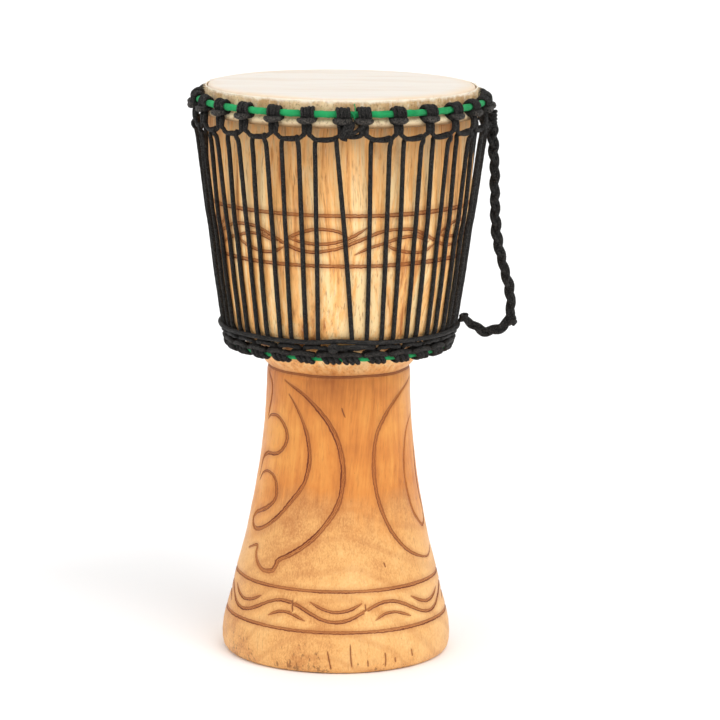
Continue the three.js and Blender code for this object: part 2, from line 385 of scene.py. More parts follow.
# Carved lines: degrees and height in millimetres, on the surface of the wood.
carving = {
    "leftOuter": [(-47, 296), (-28, 284), (-11, 263), (-1, 241), (4, 216), (4, 192), (0.5, 171),
                  (-7, 152), (-17, 134), (-28, 120), (-37, 111.5), (-38.5, 106), (-41, 99.5), (-48, 98),
                  (-54, 103), (-58, 111.5), (-59, 120), (-69, 114)],
    "leftInner": [(-42, 282), (-34.5, 270), (-26.5, 251), (-22, 231), (-21.3, 211), (-25, 190),
                  (-34, 171), (-44, 153), (-56, 139.5), (-66, 135.6), (-72, 142.5), (-68.5, 151),
                  (-56, 160), (-48, 171), (-48.2, 185), (-52.6, 194), (-61, 197), (-69, 193),
                  (-74, 184)],
    "leftLobe": [(-76, 188), (-73.5, 206), (-66, 214.8), (-53, 217.6), (-45.6, 225), (-42.2, 236.5),
                 (-45.7, 248), (-54, 256.5), (-65, 255.6), (-71, 250)],
    "leftRise": [(-71.5, 252), (-65.8, 276), (-66.6, 290), (-77, 301)],
    "rightOuter": [(80, 294), (60, 283), (46, 270), (35.6, 252.7), (30.7, 238), (28.2, 217.5),
                   (28.3, 195), (30, 176), (34.5, 154), (40, 137.6), (48.4, 122), (59, 111.6),
                   (72, 106), (84, 112)],
    "rightInner": [(84, 258), (68.5, 244), (60.8, 223), (57.9, 198), (59.3, 175), (63, 156),
                   (69.5, 143.6), (75, 138), (82, 142), (84, 156), (80, 176), (81, 205), (86, 230)],
    "dash": [(-14, 73.6), (-7, 67), (0, 64), (7.5, 66.3), (14.4, 72.5)],
    "tick": [(21.7, 55), (28, 60.4), (35, 60.3), (43.6, 54.4)],
    "bandWave": [(-26, 452), (-20, 446), (-15, 443.5), (-9, 443.5), (-1, 447), (5, 452),
                 (13, 459.5), (18, 463.7), (24, 465.8), (33, 465), (40, 459), (46, 452)],
    "bandPair": [(-23, 456), (-15, 452.5), (-8, 451.5), (0, 454.5), (6, 460), (12, 468.5)],
    "bandEye": [(-24.5, 455), (-20, 460), (-15, 464.3), (-9, 467), (-1.3, 465.4), (4, 459)],
    "bandLow": [(7, 441), (13.5, 448), (20.5, 452.4), (28, 457), (36, 457), (43, 450)],
    "bandTail": [(20.5, 452), (25, 445.7), (34, 440.7), (41, 440.8), (47, 447)],
    "bandLines": (481, 429), "footLines": (84.7, 43.8),
    "cuts": {   # half width and depth
        "leftOuter": (2.7, 1.8), "leftInner": (2.2, 1.6), "leftLobe": (1.9, 1.5), "leftRise": (1.5, 1.2),
        "rightOuter": (2.1, 1.5), "rightInner": (1.7, 1.3), "dash": (1.7, 1.1), "tick": (1.6, 1.0),
        "footWave": (1.9, 1.3), "footLines": (1.9, 1.2), "bandLines": (2.2, 0.9), "band": (1.8, 0.9),
        "cracks": (0.66, 0.45),
    },
    # cracks at the rim and knots in the wood: start, end
    "cracks": [((-3.9, 27), (-1.7, 4)), ((7.6, 33), (8.6, 6)), ((16.4, 15), (16.8, 7)),
               ((25.4, 23), (25.8, 5)), ((-24, 75), (-23.6, 61)), ((16.3, 72), (16.8, 64)),
               ((3, 273), (6, 262)), ((31, 16), (31.6, 9)), ((41, 22), (42, 12)),
               ((30, 112), (31, 106)), ((95, 33), (96, 6)), ((128, 24), (127, 3)), ((161, 40), (163, 4)),
               ((-171, 30), (-169, 5)), ((-140, 24), (-142, 2)), ((-104, 37), (-101, 8))],
}


def outerRadius(height):
    table = shellShape["outside"] + shellShape["groove"] + shellShape["bowl"]
    for (r0, z0), (r1, z1) in zip(table, table[1:]):
        if z0 <= height <= z1 and z1 > z0:
            return r0 + (r1 - r0) * (height - z0) / (z1 - z0)
    return table[-1][0]


def carvedLines():   # (points, half width, depth, tapered, crack) of every line, in millimetres
    lines = []

    def add(points, cut, turn=0, taper=True, crack=0.0):
        route, _ = smoothRoute([Vector((a + turn, z, 0)) for a, z in points], 0.6)
        lines.append(([(p.x, p.y) for p in route], *carving["cuts"][cut], taper, crack))

    for turn in (0, 180):
        for name in ("leftOuter", "leftInner", "leftLobe", "leftRise", "rightOuter", "rightInner"):
            add(carving[name], name, turn)
    for turn in range(0, 360, 60):
        add(carving["dash"], "dash", turn)
        add(carving["tick"], "tick", turn)
    around = range(0, 361, 3)

    def closing(a):   # 0 at both ends of a full turn, so that a ring meets itself
        return math.sin(math.radians(a / 2))

    wave = [(a, 63.2 - 9.2 * math.cos(math.radians(6 * a)) + 1.2 * wobble(a, 3, 0.03) * closing(a))
            for a in around]
    add(wave, "footWave", 0, False)
    for name, wander, pace in (("footLines", 1.6, 0.03), ("bandLines", 1.5, 0.04)):
        for z in carving[name]:
            add([(a, z + wander * wobble(a, z, pace) * closing(a)) for a in around], name, 0, False)
    for turn in range(0, 360, 72):
        for name in ("bandWave", "bandPair", "bandEye", "bandLow", "bandTail"):
            add(carving[name], "band", turn, name != "bandWave")
    for start, end in carving["cracks"]:
        middle = ((start[0] + end[0]) / 2 + 0.7 * wobble(start[0], 6), (start[1] + end[1]) / 2)
        add([start, middle, end], "cracks", 0, True, 0.60)
    return lines


def grooveSamples():   # places along every line, with the direction that points to its left
    samples = []
    for points, width, depth, taper, crack in carvedLines():
        last = len(points) - 1
        places = [polar(a, outerRadius(z), z) for a, z in points]
        for i, place in enumerate(places):
            swell = 1.0
            if taper:
                swell = 0.30 + 0.70 * math.sin(math.pi * min(0.5, 2.0 * min(i, last - i) / last))
            swell *= 1 + 0.22 * wobble(i * 0.05, width + depth + points[0][0] * 0.01)
            run = places[min(i + 1, last)] - places[max(i - 1, 0)]
            out = Vector((place.x, place.y, 0)).normalized()
            samples.append((place, width * swell, depth * swell, run.cross(out).normalized(), crack))
    return samples


def latheShell():
    shape = shellShape
    outside = shape["outside"] + shape["groove"] + shape["bowl"]
    dense = []
    for (r0, z0), (r1, z1) in zip(outside, outside[1:]):
        parts = max(1, round(math.hypot(r1 - r0, z1 - z0) / shape["step"]))
        for k in range(parts):
            dense.append((r0 + (r1 - r0) * k / parts, z0 + (z1 - z0) * k / parts))
    dense.append(outside[-1])
    return lathe(dense + shape["edge"] + shape["inside"], True, shape["around"], 1e-6)


def isOuter(v):
    z = v.co.z / mm
    return z < 592 and math.hypot(v.co.x, v.co.y) / mm > outerRadius(z) - 6


def makeShell():
    bm = latheShell()
    samples = grooveSamples()
    finder = kdtree.KDTree(len(samples))
    for i, sample in enumerate(samples):
        finder.insert(sample[0], i)
    finder.balance()
    for reach in (7.5, 3.9):
        near = {v for v in bm.verts if isOuter(v) and finder.find(v.co)[2] < reach * mm}
        cut = {e for f in bm.faces if any(v in near for v in f.verts) for e in f.edges}
        bmesh.ops.subdivide_edges(bm, edges=list(cut), cuts=1, use_grid_fill=True)
    cutSide = bm.verts.layers.float.new("cutSide")
    cutAway = bm.verts.layers.float.new("cutAway")
    crackLayer = bm.verts.layers.float.new("crack")
    for v in bm.verts:
        v[cutSide], v[cutAway] = 6.0, 6.0
        if not isOuter(v):
            continue
        p = v.co / mm
        outward = Vector((p.x, p.y, 0)).normalized()
        lift = shellShape["handCut"] * (noise.noise(p * 0.028) + 0.5 * noise.noise(p * 0.09))
        place, i, distance = finder.find(v.co)
        _, width, depth, left, crack = samples[i]
        t = distance / mm / width
        across = (v.co - place).dot(left) / mm / width
        v[cutSide] = max(-6.0, min(6.0, math.copysign(t, across)))
        v[cutAway] = min(6.0, t)
        v[crackLayer] = crack
        # painted shadow: a dark line along the groove at the waist, laid in like a carved line
        toFlangeShadow = (p.z - shellShape["flangeShadowLine"] - 0.8 * wobble(math.atan2(p.x, -p.y) * 3, 4)) / 1.3
        if abs(toFlangeShadow) < min(t, 3.0):
            v[cutSide], v[cutAway], v[crackLayer] = toFlangeShadow, abs(toFlangeShadow), 0.3
        if p.z > 6:
            v.co += outward * ((lift - depth * max(0.0, 1 - t) ** 0.8) * mm)
    return meshFrom("drumShell", bm)


wood = woodMaterial()
shell = makeShell()
finished(shell, wood, "drum", "carved_wood", "shell")
print("shell", sum(len(f.vertices) - 2 for f in shell.data.polygons), "triangles")

# the goatskin and its flesh ring

skinLook = {
    "cream": (0.775, 0.715, 0.640),
    "pink": (0.725, 0.630, 0.530),
    "vein": (0.60, 0.44, 0.32),
    "worn": (0.78, 0.60, 0.40),
    "shoulder": (0.80, 0.61, 0.42),
    "tan": (0.58, 0.345, 0.150),
    "fair": (0.86, 0.65, 0.39),
    "brown": (0.27, 0.155, 0.07),
    "creaseShade": (0.40, 0.225, 0.095),
    "crestHighlight": (0.93, 0.80, 0.60),
    "trimmed": (0.92, 0.84, 0.70),
    # the roll's colour on top, then its painted shade underneath
    "roll": ((0.86, 0.68, 0.43), (0.46, 0.27, 0.12)),
    "freckle": (0.30, 0.17, 0.08),
    # metres from the middle, from none to all
    "wornFrom": (0.118, 0.136), "shoulderFrom": (0.1325, 0.1385), "collarFrom": (0.1389, 0.1397),
    # metres up
    "trimFrom": (0.5985, 0.6012), "rollFrom": (0.5805, 0.5785), "rollShadeFrom": (0.5755, 0.5715),
}
headShape = {
    "top": 600.0, "thick": 1.0, "flat": 134.5,
    "ringRadius": 142.4, "ringHeight": 575.0, "loop": 4.5,
    "collarTop": 596.6,
    "around": 260,
    "hairs": 2600,
}


def skinMaterial():
    mat = Finish("goatskin")
    look = skinLook
    place = mat.place()
    split = mat.node("ShaderNodeSeparateXYZ", {0: place})
    height = split.outputs[2]
    squares = mat.plus(mat.maths("POWER", split.outputs[0], 2), mat.maths("POWER", split.outputs[1], 2))
    across = mat.maths("POWER", squares, 0.5)
    cloud = mat.noise(place, 9.0)

    # the playing face
    streaks = mat.grain(place, (7, 44, 7), 5, 0.62, 0.5)
    cream = mat.mix(mat.span(streaks, 0.46, 0.70), look["cream"], look["pink"])
    cream = mat.tint(cream, mat.span(cloud, 0.45, 0.72), 0.45, look["cream"])
    veins = mat.span(mat.grain(place, (11, 60, 11), 6, 0.7, 0.9, (5, 2, 0)), 0.60, 0.67)
    cream = mat.tint(cream, veins, 0.32, look["vein"])
    worn = mat.span(across, *look["wornFrom"])
    cream = mat.tint(cream, worn, mat.span(cloud, 0.42, 0.62, 0.0, 0.6), look["worn"])
    cream = mat.mix(mat.span(across, *look["shoulderFrom"], 0.0, 0.50), cream, look["shoulder"])

    # the collar that stands outside the ring, hair side out
    hide = mat.noise(place, 95.0, 4, 0.65)
    patch = mat.noise(place, 34.0, 4, 0.6)
    speck = mat.noise(place, 420.0, 2, 0.6)
    creases = mat.grain(place, (190, 190, 42), 4, 0.7)
    collar = mat.mix(mat.span(patch, 0.36, 0.60), look["fair"], look["tan"])
    collar = mat.tint(collar, mat.span(hide, 0.50, 0.70), 0.5, look["fair"])
    collar = mat.tint(collar, mat.span(speck, 0.54, 0.66), 0.60, look["brown"])
    # painted shade in the creases and painted highlight on their crests
    collar = mat.tint(collar, mat.span(creases, 0.50, 0.66), 0.42, look["creaseShade"])
    collar = mat.tint(collar, mat.span(creases, 0.44, 0.34), 0.75, look["crestHighlight"])
    torn = mat.plus(height, mat.times(hide, 0.008))
    collar = mat.mix(mat.span(torn, *look["trimFrom"], 0.0, 0.85), collar, look["trimmed"])
    outer = mat.span(across, *look["collarFrom"])
    colour = mat.mix(outer, cream, collar)

    # the roll round the flesh ring, with painted shade on its underside
    freckles = mat.span(mat.noise(place, 170.0, 4, 0.7), 0.50, 0.64)
    rolled = mat.mix(mat.span(height, *look["rollShadeFrom"]), *look["roll"])
    rolled = mat.tint(rolled, freckles, 0.65, look["freckle"])
    colour = mat.mix(mat.span(height, *look["rollFrom"]), colour, rolled)

    pores = mat.noise(place, 900.0, 2, 0.6)
    relief = mat.plus(mat.times(pores, 0.3), mat.times(creases, mat.times(outer, 2.6)))
    relief = mat.plus(relief, mat.times(streaks, 0.4))
    return mat.shader({"Base Color": colour, "Roughness": mat.span(streaks, 0.3, 0.7, 0.46, 0.60),
                       "Specular IOR Level": 0.35, "Subsurface Weight": 0.08,
                       "Subsurface Radius": (0.004, 0.002, 0.001),
                       "Normal": mat.bump(relief, 0.0008, 0.6)})


def makeHead():
    h = headShape
    half = h["thick"] / 2

    def arc(size, angles):
        return [(h["ringRadius"] + size * math.cos(math.radians(a)),
                 h["ringHeight"] + size * math.sin(math.radians(a))) for a in angles]

    middle = [(r, h["top"] - half) for r in (0, 15, 30, 45, 60, 75, 90, 105, 117, 126, 131)]
    middle += [(134.2, h["top"] - half - 0.1), (136.4, h["top"] - half - 0.6), (137.8, 598.2),
               (138.4, 596.6)]
    middle += [(138.45, z) for z in (593.5, 590, 586.5, 583, 579.6)]
    middle += arc(h["loop"] - half, (180, 205, 230, 255, 280, 305, 330, 355, 20, 45, 70, 95))
    middle += [(141.0, 580.4), (140.3, 583), (140.15, 586), (140.15, 589), (140.25, 592),
               (140.2, 594.5), (139.9, h["collarTop"]), (139.5, h["collarTop"] + 1.2)]
    bm = lathe(middle, False, h["around"], 1e-5)
    flat = min(bm.faces, key=lambda f: f.calc_center_median().xy.length)
    if flat.normal.z < 0:
        bmesh.ops.reverse_faces(bm, faces=bm.faces)
    for v in bm.verts:
        x, y, z = v.co / mm
        r = math.hypot(x, y)
        if r < 1:
            continue
        a = math.degrees(math.atan2(x, -y))
        out = Vector((x / r, y / r, 0))
        trimmed = min(1, max(0, (z - 590) / 5)) if r > 139.6 else 0
        rolled = 1 if z < 579.5 and r > 143 else 0
        edge = noise.noise(Vector((x, y, 0)) * 0.09) + 0.6 * noise.noise(Vector((x, y, 9)) * 0.33)
        v.co.z += trimmed * 1.3 * edge * mm
        v.co += out * (trimmed * 0.5 * noise.noise(Vector((x, y, 4)) * 0.2) * mm)
        pleat = math.sin(math.radians(a * 46)) * (0.5 + 0.5 * noise.noise(Vector((x, y, 2)) * 0.05))
        v.co += out * (rolled * 0.22 * pleat * mm)
        if r < 132:
            v.co.z += 0.12 * noise.noise(Vector((x, y, 1)) * 0.03) * mm - 0.1 * mm
    bmesh.ops.solidify(bm, geom=bm.faces, thickness=h["thick"] * mm)
    return meshFrom("goatskinHead", bm)


hairLook = [(0.30, (0.86, 0.78, 0.62)), (0.52, (0.70, 0.53, 0.33)), (0.70, (0.30, 0.18, 0.09))]


def makeHair():
    h = headShape
    bm = bmesh.new()
    for _ in range(h["hairs"]):
        a = random.uniform(0, 360)
        kind = random.random()
        long = random.uniform(2.0, 5.5)
        if kind < 0.62:   # the trimmed edge of the collar
            base = Vector((140.4, 0, h["collarTop"] - random.uniform(0.0, 5)))
            aim = Vector((random.uniform(0.15, 1.0), random.uniform(-0.8, 0.8), random.uniform(0.1, 0.9)))
        elif kind < 0.85:   # between the collar and the ring
            base = Vector((141.0, 0, random.uniform(582, 591)))
            aim = Vector((1, random.uniform(-0.9, 0.9), random.uniform(-0.5, 0.9)))
            long *= 0.7
        else:   # the roll round the flesh ring
            t = math.radians(random.uniform(-70, 60))
            base = Vector((h["ringRadius"] + 4.5 * math.cos(t), 0, h["ringHeight"] + 4.5 * math.sin(t)))
            aim = Vector((math.cos(t) * 0.6, random.uniform(-1, 1), math.sin(t) - 0.5))
            long *= 0.5
        aim.normalize()
        turn = Matrix.Rotation(math.radians(a - 90), 4, "Z")
        lean = aim.to_track_quat("Z", "Y").to_matrix().to_4x4()
        place = turn @ Matrix.Translation(base * mm) @ lean @ Matrix.Translation((0, 0, long * mm / 2))
        thin = random.uniform(0.10, 0.2) * mm
        bmesh.ops.create_cone(bm, cap_ends=True, segments=3, radius1=thin, radius2=thin * 0.15,
                              depth=long * mm, matrix=place)
    return meshFrom("collarHair", bm)


def hairMaterial():
    mat = Finish("goatHair")
    colour = mat.ramp(mat.noise(mat.place(), 60.0, 3, 0.6), hairLook)
    return mat.shader({"Base Color": colour, "Roughness": 0.6, "Sheen Weight": 0.2})


skin = skinMaterial()
head = makeHead()
finished(head, skin, "crown", "goatskin", "head_skin")
hair = makeHair()
finished(hair, hairMaterial(), "crown", "goatskin")
print("head", len(head.data.polygons), "hair", len(hair.data.polygons))

# green cloth wound round the two rings

clothLook = {"green": (0.016, 0.36, 0.110), "light": (0.040, 0.52, 0.17), "dark": (0.006, 0.15, 0.045),
             "rubbed": (0.030, 0.17, 0.06)}
ringShape = {
    "crown": {"radius": 149.0, "height": 585.0, "cloth": 3.45},
    "bottom": {"radius": 112.5, "height": 331.3, "cloth": 3.2},
    "strip": 13.0,          # width of the wound strip
    "fold": 0.5,            # how far each turn's edge stands on the one before
}


def clothMaterial():
    mat = Finish("greenCloth")
    look = clothLook
    uv = mat.node("ShaderNodeUVMap").outputs[0]
    place = mat.place()

    def threads(scale, way):
        return mat.node("ShaderNodeTexWave", {"Vector": uv, "Scale": scale, "Distortion": 0.6,
                                              "Detail": 1.0}, bands_direction=way).outputs["Fac"]

    weave = mat.times(threads(9.0, "X"), threads(3.1, "Y"))
    wear = mat.noise(place, 130.0, 4, 0.65)
    colour = mat.mix(mat.span(wear, 0.36, 0.66), look["green"], look["light"])
    # painted shade between the threads of the weave
    colour = mat.tint(colour, mat.minus(1.0, weave), 0.38, look["dark"])
    rubbed = mat.span(mat.noise(place, 260.0, 4, 0.7), 0.57, 0.68)
    colour = mat.tint(colour, rubbed, 0.6, look["rubbed"])
    relief = mat.plus(weave, mat.times(wear, 0.8))
    return mat.shader({"Base Color": colour, "Roughness": 0.85, "Specular IOR Level": 0.15,
                       "Sheen Weight": 0.05, "Normal": mat.bump(relief, 0.0004, 0.7)})


def makeCloth(name, ring, seed):
    steps = round(2 * math.pi * ring["radius"] / 1.6)
    route = [polar(360 * k / steps, ring["radius"], ring["height"]) for k in range(steps)]
    obj = tube(name, [route], ring["cloth"] * mm, 4, True, 0.004)
    turns = round(2 * math.pi * ring["radius"] / ringShape["strip"])
    for v in obj.data.vertices:
        x, y, z = v.co / mm
        r = math.hypot(x, y)
        centre = Vector((x / r * ring["radius"], y / r * ring["radius"], ring["height"]))
        off = Vector((x, y, z)) - centre
        roundAngle = math.atan2(off.z, r - ring["radius"]) / (2 * math.pi)
        along = math.atan2(x, -y) / (2 * math.pi)
        saw = (along * turns + roundAngle) % 1.0
        ridge = ringShape["fold"] * (saw ** 3) - 0.1
        fuzz = 0.16 * noise.noise(Vector((x, y, z)) * 0.5 + Vector((seed, 0, 0)))
        lumpy = 0.3 * noise.noise(Vector((x, y, seed)) * 0.11)
        v.co = (centre + off.normalized() * (ring["cloth"] + ridge + fuzz + lumpy)) * mm
    return obj


cloth = clothMaterial()
crownCloth = makeCloth("crownRingCloth", ringShape["crown"], 1)
finished(crownCloth, cloth, "crown", "green_cloth", "crown_ring_cloth")
bottomCloth = makeCloth("bottomRingCloth", ringShape["bottom"], 2)
finished(bottomCloth, cloth, "drum", "green_cloth", "bottom_ring_cloth")
print("cloth", len(crownCloth.data.polygons), len(bottomCloth.data.polygons))

# black braided rope and the knots it makes on the rings

ropeLook = {
    "black": (0.0042, 0.0038, 0.0035),
    "greyAndHighlight": (0.125, 0.114, 0.104),
    "worn": (0.215, 0.185, 0.155),
}
ropeShape = {
    "radius": 2.3, "step": 1.35,
    "topStart": 9.0, "topPitch": 351.8 / 26, "lowStart": 5.5, "lowPitch": 350 / 26,
    "knots": 27,
}
# Each knot in millimetres: turns on the ring and their spacing and slant, then the worn bar below
# them (above them on the lower ring), and the neck where both legs lie side by side.
knotShape = {
    "crown": {"turns": 4, "pitch": 3.75, "slant": 0.0, "bar": 6.5, "barHalf": 8.0, "barOut": 7.3,
              "barSwell": 0.44, "neckHalf": 2.5, "neckOut": 2.8, "neckEnd": 19.8, "wear": 0.68,
              "neckSwell": 0.25, "droop": 0.7, "flat": 1.0, "turnThin": 0.80},
    "bottom": {"turns": 3, "pitch": 6.2, "slant": 4.2, "bar": 5.4, "barHalf": 12.0, "barOut": 6.2,
               "barSwell": 0.22, "neckHalf": 2.7, "neckOut": 5.0, "neckEnd": 9.8, "wear": 0.22,
               "neckSwell": 0.0, "droop": 1.7, "flat": 0.74, "turnThin": 1.08},
}


def ropeMaterial():
    mat = Finish("blackRope")
    look = ropeLook
    place = mat.place()
    split = mat.node("ShaderNodeSeparateXYZ", {0: mat.node("ShaderNodeUVMap").outputs[0]})
    u = mat.times(split.outputs[0], 6.0)
    v = mat.times(split.outputs[1], 2.0)
    one = mat.plus(u, v)
    two = mat.minus(u, v)

    def strand(value):   # 1 on the middle of a yarn, 0 between yarns
        t = mat.minus(mat.times(mat.maths("FRACT", value), 2.0), 1.0)
        return mat.minus(1.0, mat.times(t, t))

    over = mat.plus(mat.maths("FLOOR", one), mat.maths("FLOOR", two))
    over = mat.maths("ABSOLUTE", mat.maths("MODULO", over, 2.0))
    weave = mat.node("ShaderNodeMix", {0: over, 2: strand(one), 3: strand(two)}).outputs[0]
    speck = mat.noise(place, 800.0, 3, 0.75)
    bloom = mat.span(mat.noise(place, 90.0, 3, 0.6), 0.54, 0.72)
    # painted highlight: grey specks on the tops of the yarns; the broad grey bloom below is the rope's own
    # tone
    lit = mat.times(mat.span(weave, 0.55, 0.95), mat.span(speck, 0.46, 0.60))
    colour = mat.mix(lit, look["black"], look["greyAndHighlight"])
    colour = mat.tint(colour, bloom, 0.16, look["greyAndHighlight"])
    frayed = mat.span(mat.noise(place, 640.0, 3, 0.75), 0.47, 0.57)
    colour = mat.tint(colour, mat.painted("worn"), frayed, look["worn"])
    relief = mat.plus(weave, mat.times(speck, 0.35))
    return mat.shader({"Base Color": colour, "Roughness": 0.62, "Specular IOR Level": 0.22,
                       "Sheen Weight": 0.02, "Normal": mat.bump(relief, 0.0009, 0.9)})


class Knot:   # a frame at a ring: along the ring, outward, and down towards the legs, in millimetres
    def __init__(self, ring, degrees, up):   # up is 1 where the legs hang down and -1 where they rise
        self.centre = polar(degrees, ring["radius"], ring["height"]) / mm
        a = math.radians(degrees)
        self.out = Vector((math.sin(a), -math.cos(a), 0))
        self.along = Vector((math.cos(a), math.sin(a), 0))
        self.up = up

    def at(self, along, out, down):
        return (self.centre + self.along * along + self.out * out + Vector((0, 0, -down * self.up))) * mm


def knotRoute(knot, shape, seed):
    # up the left leg, round the ring in turns from left to right, back in front as the bar
    # and down the right leg
    turns, pitch = shape["turns"], shape["pitch"]
    size = 3.5 + ropeShape["radius"]
    left = -pitch * turns / 2
    half, out, bar, neckEnd = shape["neckHalf"], shape["neckOut"], shape["bar"], shape["neckEnd"]
    places = [(-half, out, neckEnd), (-half, out + 0.4, (neckEnd + bar) / 2),
              (-half - 0.9, out - 0.9, bar + 3.1), (left * 0.72, -0.6, bar + 1.0)]
    count = turns * 12
    for k in range(count + 1):
        t = k / count
        a = math.radians(-128 - 360 * turns * t)
        swell = 1 + 0.07 * wobble(k * 0.33, seed) + 0.20 * wobble(k // 12 * 2.7, seed + 3)
        along = left + 1.0 + (pitch * turns - 1.0) * t + 0.5 * wobble(k * 0.21, seed + 40)
        places.append((along + shape["slant"] * math.sin(a), size * swell * math.cos(a),
                       -size * swell * shape["flat"] * math.sin(a)))
    wide, barOut = shape["barHalf"], shape["barOut"]
    tilt, droop = 0.6 * wobble(seed * 2.3, 14), shape["droop"]
    places += [(wide - 0.9, barOut * 0.25, bar + 0.4 - droop), (wide, barOut * 0.62, bar + tilt - droop),
               (wide - 2.6, barOut, bar + tilt - droop * 0.6), (0, barOut + 0.9, bar + droop * 0.25),
               (-wide + 2.6, barOut, bar - tilt - droop * 0.6),
               (-wide, barOut * 0.6, bar - tilt - droop), (-wide + 1.4, barOut * 0.2, bar + 1.2),
               (-half, out - 2.2, bar + 2.4), (half, out - 1.0, bar + 4.6), (half, out, neckEnd)]
    return [knot.at(*place) for place in places]


def cradleRoute(ring, shape, angles, up, low):
    points = []
    corner = low["corner"]
    for i, a in enumerate(angles):
        gap = (angles[(i + 1) % len(angles)] - a) % 360
        points += knotRoute(Knot(ring, a + 0.35 * wobble(i * 3.1, 11), up), shape, i + 20)
        if gap < 9:   # over the seam the rope runs straight from neck to neck
            z = ring["height"] - (shape["neckEnd"] + 2.2) * up
            points += [polar(a + gap * k, low["radius"] - 0.4, z) for k in (0.34, 0.66)]
            continue
        tilt = 1.3 * wobble(i * 1.7, 5)
        lift = low["rise"] * up
        points += [polar(a + corner * 0.55, low["radius"] - 0.3, low["height"] + lift),
                   polar(a + corner, low["radius"], low["height"] + (0.6 + tilt * 0.6) * up),
                   polar(a + gap / 2, low["radius"] + 0.3, low["height"] - 0.4 * up),
                   polar(a + gap - corner, low["radius"], low["height"] + (0.6 - tilt * 0.6) * up),
                   polar(a + gap - corner * 0.55, low["radius"] - 0.3, low["height"] + lift)]
    return points


def barFactor(place, ring, shape, up):   # 1 on the middle of a knot's bar, 0 away from it
    r = math.hypot(place[0], place[1]) / mm - ring["radius"]
    z = (place[2] / mm - ring["height"]) * up + shape["bar"]
    return max(0.0, 1 - (z / 4.2) ** 2) * min(1.0, max(0.0, (r - shape["barOut"] + 1.9) / 2.4))


def ropeSwell(place, ring, shape, up):
    down = (ring["height"] - place[2] / mm) * up
    onNeck = min(1.0, max(0.0, (down - shape["bar"] - 3) / 2)) * min(1.0, max(0.0, (22 - down) / 3))
    onRing = min(1.0, max(0.0, (down + shape["bar"] - 1.5) / 2 + 1)) * (down < shape["bar"] - 2.5)
    bar = barFactor(place, ring, shape, up)
    return 1 + shape["barSwell"] * bar + shape["neckSwell"] * onNeck + (shape["turnThin"] - 1) * onRing


def wornBars(obj, ring, shape, up):   # greyer where the knots stand proud and are rubbed
    worn = obj.data.attributes.new("worn", "FLOAT", "POINT")
    for i, v in enumerate(obj.data.vertices):
        worn.data[i].value = barFactor(v.co, ring, shape, up) * shape["wear"]


rope = ropeMaterial()
topAngles = [ropeShape["topStart"] + ropeShape["topPitch"] * i for i in range(ropeShape["knots"])]
lowAngles = [ropeShape["lowStart"] + ropeShape["lowPitch"] * i for i in range(ropeShape["knots"])]
topSwag = {"radius": 151.4, "height": 559.4, "rise": 3.4, "corner": 3.3}
lowSwag = {"radius": 121.4, "height": 344.0, "rise": 0.2, "corner": 3.5}


def makeCradle(name, which, angles, up, low):
    ring, shape = ringShape[which], knotShape[which]
    points = cradleRoute(ring, shape, angles, up, low)
    route, length = smoothRoute(points, ropeShape["step"] * mm, True)
    obj = tube(name, [route], ropeShape["radius"] * mm, 2, True,
               swell=lambda place: ropeSwell(place, ring, shape, up))
    wornBars(obj, ring, shape, up)
    print(name, "rope", round(length, 2), "m", len(obj.data.polygons))
    return obj


topCradle = makeCradle("topCradleRope", "crown", topAngles, 1, topSwag)
finished(topCradle, rope, "crown", "black_rope", "top_cradle_rope")
bottomCradle = makeCradle("bottomCradleRope", "bottom", lowAngles, -1, lowSwag)
finished(bottomCradle, rope, "drum", "black_rope", "bottom_cradle_rope")

# one rope that zigzags between the two cradles

lacingShape = {
    "topLeft": -3.8, "topRight": 3.5, "lowLeft": -4.4, "lowRight": 1.6,   # degrees from a loop's middle
    "seamPull": 1.2,
    "outside": 2.6, "outsideFrom": 475,   # the upper run stands off, from this height up
    "runs": [(147.6, 552), (145.4, 536), (139.4, 475), (135.3, 450), (132.2, 425), (129.2, 402),
             (125.9, 380), (122.4, 357), (120.2, 350.5)],
    "thick": 2.4,
}


def lacingRoute():
    shape = lacingShape
    loops = ropeShape["knots"] - 1
    high, low = shape["runs"][0][1], shape["runs"][-1][1]
    bend = shape["outsideFrom"]
    points = []

    def run(fromTop, toBottom, seed, outside=0.0):
        return [polar(fromTop + (toBottom - fromTop) * (high - z) / (high - low)
                      + 0.22 * wobble(z * 0.012, seed), r + outside * max(0, z - bend) / (high - bend), z)
                for r, z in shape["runs"]]

    for loop in range(loops - 1, -1, -1):
        besideSeam = loop == loops - 1
        middle = topAngles[loop] + ropeShape["topPitch"] / 2
        nextLow = lowAngles[0] + 360 if besideSeam else lowAngles[loop + 1]
        pull = shape["seamPull"] if besideSeam else 0
        lowLeft = nextLow + ropeShape["lowPitch"] / 2 + shape["lowLeft"] - pull
        lowRight = lowAngles[loop] + ropeShape["lowPitch"] / 2 + shape["lowRight"]
        topRight, topLeft = middle + shape["topRight"] + pull, middle + shape["topLeft"]
        points += run(topRight, lowLeft, loop, shape["outside"])[::-1]
        # over the swag at the right corner, behind it, and down inside at the left corner
        points += [polar(topRight, 152.6, 555.6), polar(topRight - 0.1, 153.8, 559.0),
                   polar(topRight - 0.5, 151.4, 561.9), polar(topRight - 1.4, 148.2, 560.4),
                   polar(middle, 147.0, 559.4), polar(topLeft + 0.5, 147.0, 558.2)]
        points += run(topLeft, lowRight, loop + 50)
        if loop > 0:
            left = lowAngles[loop] + ropeShape["lowPitch"] / 2 + shape["lowLeft"]
            points += [polar(lowRight - 0.2, 117.8, 345.4), polar((lowRight + left) / 2, 117.0, 344.2),
                       polar(left + 0.3, 117.8, 345.4)]
    return points


points = lacingRoute()
route, lacingLength = smoothRoute(points, 2.2 * mm)
lacing = tube("lacingRope", [route], lacingShape["thick"] * mm)
finished(lacing, rope, None, "black_rope", "lacing_rope")
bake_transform(lacing)
print("lacing", round(lacingLength, 2), "m", len(lacing.data.polygons))

# the lock rope, its knot and the tie-off


